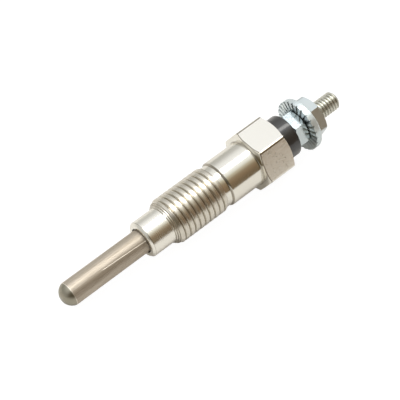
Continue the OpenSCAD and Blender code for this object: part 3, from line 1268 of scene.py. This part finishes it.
@dataclass
class ThreadedHousing(Piece):
    """The plated steel body: nose, thread, neck, shank and spanner hexagon.

    Attributes:
        front_face_r, top_face_r: Radii at which the bevels of the hexagon's ends start.
        lead_radii: Steps from the thread down to the nose.
        lead_foot, lead_rise: Height of the lowest step and the rise to the next.
        lead_edge: Half the height of a step's bevel.
        lead_slope: How fast the thread's first turn reaches its full height.
        thread_trim, relief_trim: Where the winding is cut above its foot and below the shank.
        face_foot: Width of the plain ring round the shank's upper end.
        break_width: Width of the broken ridges.
    """

    nose_r: float = 3.9
    nose_bevel: float = 0.45
    mouth_r: float = 2.75
    mouth_depth: float = 1.5
    sheath_bore_r: float = 2.52
    rod_bore_r: float = 2.2
    socket_r: float = 3.4
    relief_r: float = 4.6
    shank_r: float = 4.95
    edge_bevel: float = 0.3
    hexagon: Hexagon = Hexagon(6.0)
    front_face_r: float = 6.185
    top_face_r: float = 5.8
    thread: ThreadForm = ThreadForm(5.0, 1.25, 4.60, crest_share=0.64, root_share=0.06, soft=0.07)
    lead_radii: tuple[float, ...] = (4.68, 4.44, 4.18)
    lead_foot: float = 5.46
    lead_rise: float = 0.34
    lead_edge: float = 0.04
    lead_slope: float = 2.5
    thread_trim: float = 0.02
    relief_trim: float = 0.7
    face_foot: float = 0.6
    nose_round: float = 0.1
    mouth_round: float = 0.06
    relief_round: float = 0.12
    shank_foot_round: float = 0.06
    shank_edge_round: float = 0.1
    hexagon_round: float = 0.22
    break_width: float = 0.28

    name = "threaded_housing"
    node = "housing"
    finish = NickelPlate(
        mouth_r=mouth_r,
        nose_bevel=nose_bevel,
        bevel_r=front_face_r,
        bevel_slope=hexagon.slope,
        lead_foot=lead_foot,
        lead_rise=lead_rise,
    )

    def limit(self, height: float, own: float) -> float:
        """Limits the thread to the housing's outline.

        Args:
            height: The height.
            own: The thread's own radius there.

        Returns:
            The housing's radius.
        """
        stack = self.stack
        if height <= stack.relief:
            return min(own, self.lead_radii[0] + max(0.0, height - stack.thread) * self.lead_slope)
        share = (height - stack.relief) / self.edge_bevel
        if share < 1:
            return min(own, self.thread.major + share * (self.relief_r - self.thread.major))
        return self.relief_r

    def lead(self) -> list[Corner]:
        """Steps the lead from the thread down to the nose.

        Returns:
            The corners of the steps.
        """
        corners = []
        radii = [*self.lead_radii, self.nose_r]
        for index, (upper, lower) in enumerate(zip(radii, radii[1:])):
            middle = self.lead_foot + self.lead_rise * (len(radii) - 2 - index)
            for radius, height in ((upper, middle + self.lead_edge), (lower, middle - self.lead_edge)):
                corners.append(Corner(radius, height, self.lead_edge / 2))
        return corners

    def build(self) -> bmesh.types.BMesh:
        """Winds the thread first and then grows both ends out of it.

        Returns:
            The upright mesh, in millimetres.
        """
        stack = self.stack
        shell = Shell()
        foot, top = stack.thread + self.thread_trim, stack.shank - self.relief_trim
        self.thread.wind(shell, foot, top, self.limit)
        shell.rim_at(foot)
        nose = [
            Corner(self.lead_radii[0], foot),
            *self.lead(),
            Corner(self.nose_r, self.nose_bevel, self.nose_round),
            Corner(self.nose_r - self.nose_bevel, 0.0, self.nose_round),
            Corner(self.mouth_r, 0.0, self.mouth_round),
            Corner(self.mouth_r, self.mouth_depth),
            Corner(self.sheath_bore_r, self.mouth_depth),
            Corner(self.sheath_bore_r, stack.sheath_top),
            Corner(self.rod_bore_r, stack.sheath_top),
            Corner(self.rod_bore_r, stack.socket),
            Corner(self.socket_r, stack.socket),
        ]
        inner = shell.follow(outline(nose)[1:])
        shell.rim_at(top)
        shank = [
            Corner(self.relief_r, top),
            Corner(self.relief_r, stack.shank, self.relief_round),
            Corner(self.shank_r - self.edge_bevel, stack.shank, self.shank_foot_round),
            Corner(self.shank_r, stack.shank + self.edge_bevel, self.shank_edge_round),
            Corner(self.shank_r, stack.hexagon, self.hexagon_round),
            Corner(self.shank_r + self.face_foot, stack.hexagon),
        ]
        shell.follow(outline(shank)[1:])
        hexagon = self.hexagon
        front_drop = hexagon.drop(self.front_face_r)
        top_drop = hexagon.drop(self.top_face_r)
        shell.grow(hexagon.face(self.front_face_r), stack.hexagon)
        shell.grow(hexagon.radius, lambda angle: stack.hexagon + front_drop(angle))
        shell.grow(hexagon.radius, lambda angle: stack.bush - top_drop(angle))
        shell.grow(hexagon.face(self.top_face_r), stack.bush)
        outer = shell.grow(self.socket_r, stack.bush)
        bmesh.ops.bridge_loops(shell.bm, edges=inner + outer)
        soften_ridges(shell.bm, hexagon.corner(), stack.hexagon, stack.bush, self.break_width)
        return shell.bm


@dataclass
class HeaterSheath(Piece):
    """The closed tube that glows, pressed into the housing."""

    outer_r: float = 2.5
    bore_r: float = 1.9
    tip_crown: float = 0.1
    tip_flat_r: float = 1.0
    tip_steps: int = 12
    tip_round: float = 0.1
    floor_bevel: float = 0.3
    columns: int = 96

    name = "heater_tube"
    node = "heater_sheath"
    finish = HeaterAlloy()

    def dome(self) -> list[Corner]:
        """Curves the domed tip from its flat to the tube.

        Returns:
            The corners of the dome.
        """
        dome_r = self.outer_r + self.tip_crown
        centre = self.stack.tip + math.sqrt(dome_r**2 - self.tip_flat_r**2)
        first, last = math.asin(self.tip_flat_r / dome_r), math.asin(self.outer_r / dome_r)
        angles = [first + (last - first) * step / self.tip_steps for step in range(self.tip_steps + 1)]
        corners = [Corner(dome_r * math.sin(turn), centre - dome_r * math.cos(turn)) for turn in angles]
        edge = corners.pop()
        return [*corners, Corner(edge.radius, edge.height, self.tip_round)]

    def build(self) -> bmesh.types.BMesh:
        """Turns the tube about the axis.

        Returns:
            The upright mesh, in millimetres.
        """
        stack = self.stack
        return turned(
            [
                Corner(0.0, stack.tip),
                *self.dome(),
                Corner(self.outer_r, stack.sheath_top),
                Corner(self.bore_r, stack.sheath_top),
                Corner(self.bore_r, stack.sheath_floor + self.floor_bevel),
                Corner(self.bore_r - self.floor_bevel, stack.sheath_floor),
                Corner(0.0, stack.sheath_floor),
            ],
            steps=self.columns,
            closed=False,
        )


@dataclass
class InsulatingBush(Piece):
    """The black bush that keeps the terminal clear of the housing."""

    rim_r: float = 4.6
    foot_r: float = 4.38
    rim_round: float = 0.45
    foot_rise: float = 0.14
    foot_bevel: float = 0.08
    foot_round: float = 0.06
    spigot_r: float = 3.38
    bore_r: float = 2.1
    columns: int = 96

    name = "bush_moulding"
    node = "insulating_bush"
    finish = PhenolicMoulding()

    def build(self) -> bmesh.types.BMesh:
        """Turns the bush about the axis.

        Returns:
            The upright mesh, in millimetres.
        """
        stack = self.stack
        return turned(
            [
                Corner(self.bore_r, stack.spigot),
                Corner(self.spigot_r, stack.spigot),
                Corner(self.spigot_r, stack.bush),
                Corner(self.foot_r, stack.bush),
                Corner(self.foot_r, stack.bush + self.foot_rise),
                Corner(self.rim_r, stack.bush + self.foot_rise + self.foot_bevel, self.foot_round),
                Corner(self.rim_r, stack.lock, self.rim_round),
                Corner(self.bore_r, stack.lock),
            ],
            steps=self.columns,
            closed=True,
        )


@dataclass
class LockNut(Piece):
    """The plain nut that clamps the bush."""

    hexagon: Hexagon = Hexagon(3.5, turn=5.0)
    face_inset: float = 0.2
    bore_r: float = 1.793
    sink_r: float = 2.1
    break_width: float = 0.05
    columns: int = 96

    name = "plain_nut"
    node = "lock_nut"
    finish = ZincPlate()

    def build(self) -> bmesh.types.BMesh:
        """Grows the nut ring by ring from the bore's foot.

        Returns:
            The upright mesh, in millimetres.
        """
        stack, hexagon = self.stack, self.hexagon
        sink = (self.sink_r - self.bore_r) * math.tan(math.radians(hexagon.slope))
        face_r = hexagon.flat - self.face_inset
        drop = hexagon.drop(face_r)
        turn = math.radians(hexagon.turn)
        angles = [turn + math.tau * column / self.columns for column in range(self.columns)]
        shell = Shell()
        first = shell.ring(angles, self.bore_r, stack.lock + sink)
        shell.grow(self.sink_r, stack.lock)
        shell.grow(face_r, stack.lock)
        shell.grow(hexagon.radius, lambda angle: stack.lock + drop(angle))
        shell.grow(hexagon.radius, lambda angle: stack.nut - drop(angle))
        shell.grow(face_r, stack.nut)
        shell.grow(self.sink_r, stack.nut)
        last = shell.grow(self.bore_r, stack.nut - sink)
        bmesh.ops.bridge_loops(shell.bm, edges=first + last)
        soften_ridges(shell.bm, hexagon.corner(), stack.lock, stack.nut, self.break_width)
        return shell.bm


@dataclass
class TerminalNut(Piece):
    """The flange nut with ratchet serrations under its flange.

    Attributes:
        rim: Height of the flange's upper edge above its face.
        rim_foot: Height at which the rim's wall ends above the notches.
        slope: Slope of the flange's upper side, in degrees.
        teeth: Notches round the flange.
        tooth_turn: Their turn about the axis, in degrees.
        tooth_depth: Their depth at the rim.
        tooth_slack: Share of the pitch by which an angle may fall short of a notch.
        long_flank, steep_flank: Widths of a notch's flanks, as shares of the pitch.
    """

    hexagon: Hexagon = Hexagon(4.0, turn=-9.0)
    face_inset: float = 0.2
    flange_r: float = 5.7
    rim: float = 1.45
    slope: float = 22.0
    teeth: int = 26
    rim_foot: float = 0.45
    rim_round: float = 0.32
    tooth_turn: float = -5.0
    tooth_depth: float = 0.20
    tooth_slack: float = 1e-6
    long_flank: float = 0.34
    steep_flank: float = 0.15
    bore_r: float = 1.793
    sink_r: float = 2.1
    break_width: float = 0.05

    name = "flange_nut"
    node = "terminal_nut"
    finish = SerratedZinc(notches=teeth, turn=tooth_turn, top=Stack.nut + rim_foot)

    def notch(self, angle: float) -> float:
        """Measures the notches at an angle.

        Args:
            angle: The angle, in radians.

        Returns:
            Their depth there, as a share of the full depth.
        """
        pitch = math.tau / self.teeth
        share = ((angle - math.radians(self.tooth_turn)) / pitch + self.tooth_slack) % 1.0
        if share < self.long_flank:
            return 1.0 - share / self.long_flank
        return max(0.0, (share - 1.0 + self.steep_flank) / self.steep_flank)

    def build(self) -> bmesh.types.BMesh:
        """Grows the nut ring by ring from the bore's top.

        Returns:
            The upright mesh, in millimetres.
        """
        stack, hexagon, flange_r = self.stack, self.hexagon, self.flange_r
        sink = (self.sink_r - self.bore_r) * math.tan(math.radians(hexagon.slope))
        face_r = hexagon.flat - self.face_inset
        drop = hexagon.drop(face_r)
        rise = math.tan(math.radians(self.slope))
        turn, pitch = math.radians(self.tooth_turn), math.tau / self.teeth
        crest = 1.0 - self.steep_flank
        flank = self.long_flank
        shares = (0.0, flank / 3, flank * 2 / 3, flank, crest, (crest + 1) / 2)
        angles = [turn + pitch * (tooth + share) for tooth in range(self.teeth) for share in shares]
        shell = Shell()
        first = shell.ring(angles, self.bore_r, stack.free - sink)
        shell.grow(self.sink_r, stack.free)
        shell.grow(face_r, stack.free)
        shell.grow(hexagon.radius, lambda angle: stack.free - drop(angle))
        shell.grow(
            hexagon.radius,
            lambda angle: stack.nut + self.rim + (flange_r - hexagon.radius(angle)) * rise,
        )
        inward = 1.0
        edge = [
            Corner(flange_r - inward, stack.nut + self.rim + inward * rise),
            Corner(flange_r, stack.nut + self.rim, self.rim_round),
            Corner(flange_r, stack.nut + self.rim_foot),
        ]
        shell.follow(outline(edge, steps=5)[1:])
        shell.grow(flange_r, lambda angle: stack.nut + self.tooth_depth * self.notch(angle))
        inner = self.tooth_depth * self.sink_r / flange_r
        shell.grow(self.sink_r, lambda angle: stack.nut + inner * self.notch(angle))
        last = shell.grow(self.bore_r, stack.nut + sink)
        bmesh.ops.bridge_loops(shell.bm, edges=first + last)
        soften_ridges(shell.bm, hexagon.corner(), stack.nut, stack.free, self.break_width)
        return shell.bm


@dataclass
class TerminalRod(Piece):
    """The rod through the plug, with its threaded free end."""

    pin_r: float = 0.9
    neck_r: float = 1.3
    rod_r: float = 1.75
    pitch_r: float = 1.773
    end_bevel: float = 0.45
    thread_foot: float = 0.8
    thread_start: float = 0.1
    thread: ThreadForm = ThreadForm(2.0, 0.7, 1.68, crest_share=0.34, root_share=0.12, soft=0.10, steps=64)

    name = "terminal_rod"
    node = "centre_rod"
    finish = StudSteel()

    def limit(self, height: float, own: float) -> float:
        """Limits the thread to the stud's outline.

        Args:
            height: The height.
            own: The thread's own radius there.

        Returns:
            The rod's radius.
        """
        stack = self.stack
        if height < stack.free - self.thread_start:
            return self.pitch_r
        return min(own, self.thread.major + min(0.0, stack.end - self.end_bevel - height))

    def build(self) -> bmesh.types.BMesh:
        """Winds the thread first and then grows both ends out of it.

        Returns:
            The upright mesh, in millimetres.
        """
        stack = self.stack
        shell = Shell()
        foot = stack.free - self.thread_foot
        self.thread.wind(shell, foot, stack.end, self.limit)
        shell.rim_at(stack.end)
        shell.cap()
        shell.rim_at(foot)
        inside = [
            Corner(self.pitch_r, stack.lock),
            Corner(self.rod_r, stack.lock),
            Corner(self.rod_r, stack.sheath_top),
            Corner(self.neck_r, stack.sheath_top),
            Corner(self.neck_r, stack.neck),
            Corner(self.pin_r, stack.neck),
            Corner(self.pin_r, stack.pin),
        ]
        shell.follow(outline(inside))
        shell.cap()
        return shell.bm


@dataclass
class InnerParts:
    """The hidden solids, which keep their shape and get a finish each."""

    finishes: Mapping[str, Finish] = field(
        default_factory=lambda: {
            "heating_coil": ResistanceWire(),
            "control_coil": ResistanceWire(pale=(0.46, 0.42, 0.37), dark=(0.32, 0.29, 0.26), roughness=0.38),
            "magnesia_fill": DullFill(),
            "sheath_seal": SealRubber(),
            "body_seal": SealRubber(dark=(0.03, 0.025, 0.025), roughness=0.55),
        }
    )

    def dress(self, nodes: Mapping[str, bpy.types.Object], lay: Lay) -> None:
        """Gives each hidden solid its material.

        Args:
            nodes: The frame's solids by name.
            lay: The lie of the plug.
        """
        for name, finish in self.finishes.items():
            materials = nodes[name].data.materials
            materials.clear()
            materials.append(finish.material(lay))
            LOG.info("%s: dressed", name)


@dataclass
class Studio:
    """The light tent, the floor and the camera.

    Attributes:
        elevation: The camera's height above the horizon, in degrees.
        azimuth: Its turn about the plug, in degrees; 0 looks along +Y.
        distance: Its distance, in metres.
        focal_px: Its focal length in pixels of the image.
        aim_height: Height on the plug's axis of the point that the picture is set by.
        aim_px: Where that point lies in the picture, in pixels from the upper left.
        floor_albedo, floor_seen: The floor's colour as it lights the plug, and as the camera sees it.
        mirrored_albedo, mirrored_glow: Its colour and glow in reflections.
        floor_half: Half the floor's side, in metres.
        tent_level, strip_level: Brightness of the tent and of the strip in it.
        strip_lean, strip_reach: Slopes and sides between which the strip lies.
        behind_wall, front_wall: Colours of the tent by height.
        open_side: The way that the camera's opening faces.
        dark_side: Colour of the opening.
        opening_edge, front_edge, strip_foot: Values between which one part fades into the next.
        lean_soft, reach_soft: Widths of the strip's soft edges.
        least_rise: Rise below which the strip's slope isn't measured.
        clip_m: Nearest and farthest distance that the camera sees.
    """

    elevation: float = 52.20
    azimuth: float = -41.43
    distance: float = 0.320
    focal_px: float = 1632.0
    aim_height: float = 17.0
    aim_px: tuple[float, float] = (207.4, 192.4)
    floor_albedo: Colour = (0.12, 0.12, 0.12)
    floor_seen: Colour = (0.96, 0.96, 0.96)
    mirrored_albedo: Colour = (0.67, 0.66, 0.645)
    mirrored_glow: Colour = (0.155, 0.152, 0.147)
    tent_level: float = 1.2
    strip_level: float = 6.8
    strip_lean: tuple[float, float] = (-0.287, 0.017)
    strip_reach: tuple[float, float] = (-0.2, 0.85)
    open_side: Colour = (-0.66, -0.75, 0.0)
    dark_side: Colour = (0.13, 0.105, 0.065)
    floor_half: float = 1.5
    strip_colour: Colour = (1.0, 1.0, 0.98)
    opening_edge: tuple[float, float] = (0.35, 0.65)
    front_edge: tuple[float, float] = (0.05, 0.40)
    strip_foot: tuple[float, float] = (0.2, 0.4)
    lean_soft: float = 0.09
    reach_soft: float = 0.25
    least_rise: float = 0.05
    clip_m: tuple[float, float] = (0.01, 10.0)
    behind_wall: tuple[tuple[float, Colour], ...] = (
        (0.0, (0.60, 0.60, 0.58)),
        (0.15, (0.50, 0.50, 0.48)),
        (0.47, (0.575, 0.575, 0.565)),
        (0.70, (0.84, 0.85, 0.86)),
        (0.83, (0.91, 0.925, 0.955)),
        (1.0, (0.93, 0.95, 0.98)),
    )
    front_wall: tuple[tuple[float, Colour], ...] = (
        (0.0, (0.235, 0.165, 0.10)),
        (0.32, (0.225, 0.152, 0.091)),
        (0.52, (0.255, 0.173, 0.103)),
        (0.70, (0.28, 0.215, 0.14)),
        (0.83, (0.50, 0.45, 0.34)),
        (0.92, (0.83, 0.83, 0.77)),
        (1.0, (0.96, 0.98, 1.0)),
    )

    def camera(self, lay: Lay) -> None:
        """Sets the camera at the photograph's viewing angle.

        Args:
            lay: The lie of the plug.
        """
        turn, rise = math.radians(self.azimuth), math.radians(self.elevation)
        back = Vector(
            (math.sin(turn) * math.cos(rise), -math.cos(turn) * math.cos(rise), math.sin(rise))
        )
        right = Vector((math.cos(turn), math.sin(turn), 0.0))
        up = back.cross(right)
        across = (self.aim_px[0] - IMAGE_SIDE / 2) / self.focal_px * self.distance
        above = (IMAGE_SIDE / 2 - self.aim_px[1]) / self.focal_px * self.distance
        target = lay.point(self.aim_height) - right * across - up * above
        data = bpy.data.cameras.new("camera")
        data.sensor_width = SENSOR_MM
        data.lens = self.focal_px / IMAGE_SIDE * SENSOR_MM
        data.clip_start, data.clip_end = self.clip_m
        camera = bpy.data.objects.new("camera", data)
        camera.location = target + back * self.distance
        camera.rotation_mode = "QUATERNION"
        camera.rotation_quaternion = (-back).to_track_quat("-Z", "Y")
        bpy.context.scene.collection.objects.link(camera)
        bpy.context.scene.camera = camera

    def floor(self) -> None:
        """Lays the floor, pale to the camera and in reflections, dark in the light that it sends up."""
        bm = bmesh.new()
        bmesh.ops.create_grid(bm, x_segments=1, y_segments=1, size=self.floor_half)
        mesh = bpy.data.meshes.new("floor")
        bm.to_mesh(mesh)
        bm.free()
        material = bpy.data.materials.new("pale_floor")
        material.use_nodes = True
        bench = Bench(material.node_tree)
        ray = bench.node("ShaderNodeLightPath").outputs
        camera, glossy = Value(bench, ray["Is Camera Ray"]), Value(bench, ray["Is Glossy Ray"])
        mirrored = glossy.math("MAXIMUM", glossy, Value(bench, ray["Is Transmission Ray"]))
        paint = bench.mix(mirrored, self.floor_albedo, self.mirrored_albedo)
        shade = bench.mix(camera, self.mirrored_glow, self.floor_seen)
        seen = camera.math("MAXIMUM", camera, mirrored)
        matt = bench.node("ShaderNodeBsdfDiffuse", inputs={"Color": paint})
        glow = bench.node("ShaderNodeEmission", inputs={"Color": shade, "Strength": seen})
        both = bench.node("ShaderNodeAddShader", inputs={0: matt.outputs[0], 1: glow.outputs[0]})
        bench.node("ShaderNodeOutputMaterial", inputs={"Surface": both.outputs[0]})
        mesh.materials.append(material)
        floor = bpy.data.objects.new("floor", mesh)
        bpy.context.scene.collection.objects.link(floor)

    def tent(self) -> None:
        """Sets the light tent: a bright strip overhead, grey behind the plug, brown in front of it."""
        world = bpy.data.worlds.new("light_tent")
        bpy.context.scene.world = world
        world.use_nodes = True
        bench = Bench(world.node_tree)
        way = bench.node("ShaderNodeTexCoord").outputs["Generated"]
        side, depth, rise = bench.split(way)
        behind = bench.node("ShaderNodeValToRGB", {"stops": self.behind_wall}, {"Fac": rise})
        front = bench.node("ShaderNodeValToRGB", {"stops": self.front_wall}, {"Fac": rise})
        facing = bench.along(way, self.open_side)
        shaded = bench.mix(bench.step(facing, *self.opening_edge), front.outputs["Color"], self.dark_side)
        walls = bench.mix(bench.step(depth * -1.0, *self.front_edge), behind.outputs["Color"], shaded)
        lean = depth.math("DIVIDE", depth * -1.0, rise.math("MAXIMUM", rise, self.least_rise))
        along = bench.span(lean, *self.strip_lean, self.lean_soft)
        strip = along * bench.span(side, *self.strip_reach, self.reach_soft)
        strip = strip * bench.step(rise, *self.strip_foot)
        shader = bench.node(
            "ShaderNodeBackground",
            inputs={
                "Color": bench.mix(strip, walls, self.strip_colour),
                "Strength": strip * (self.strip_level - self.tent_level) + self.tent_level,
            },
        )
        bench.node("ShaderNodeOutputWorld", inputs={"Surface": shader.outputs[0]})

    def set_up(self, lay: Lay) -> None:
        """Sets up the camera, the floor and the light.

        Args:
            lay: The lie of the plug.
        """
        bpy.context.scene.view_settings.view_transform = "Standard"
        self.camera(lay)
        self.floor()
        self.tent()


def main() -> None:
    """Builds the plug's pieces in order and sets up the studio."""
    logging.basicConfig(level=logging.INFO, format="%(name)s: %(message)s")
    for item in list(bpy.data.objects):
        bpy.data.objects.remove(item)
    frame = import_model()
    lay = Lay.from_record(frame["record"])
    pieces = (
        ThreadedHousing(),
        HeaterSheath(),
        InsulatingBush(),
        LockNut(),
        TerminalNut(),
        TerminalRod(),
    )
    for piece in pieces:
        piece.dress(lay)
    InnerParts().dress(frame["nodes"], lay)
    Studio().set_up(lay)


if __name__ == "__main__":
    main()
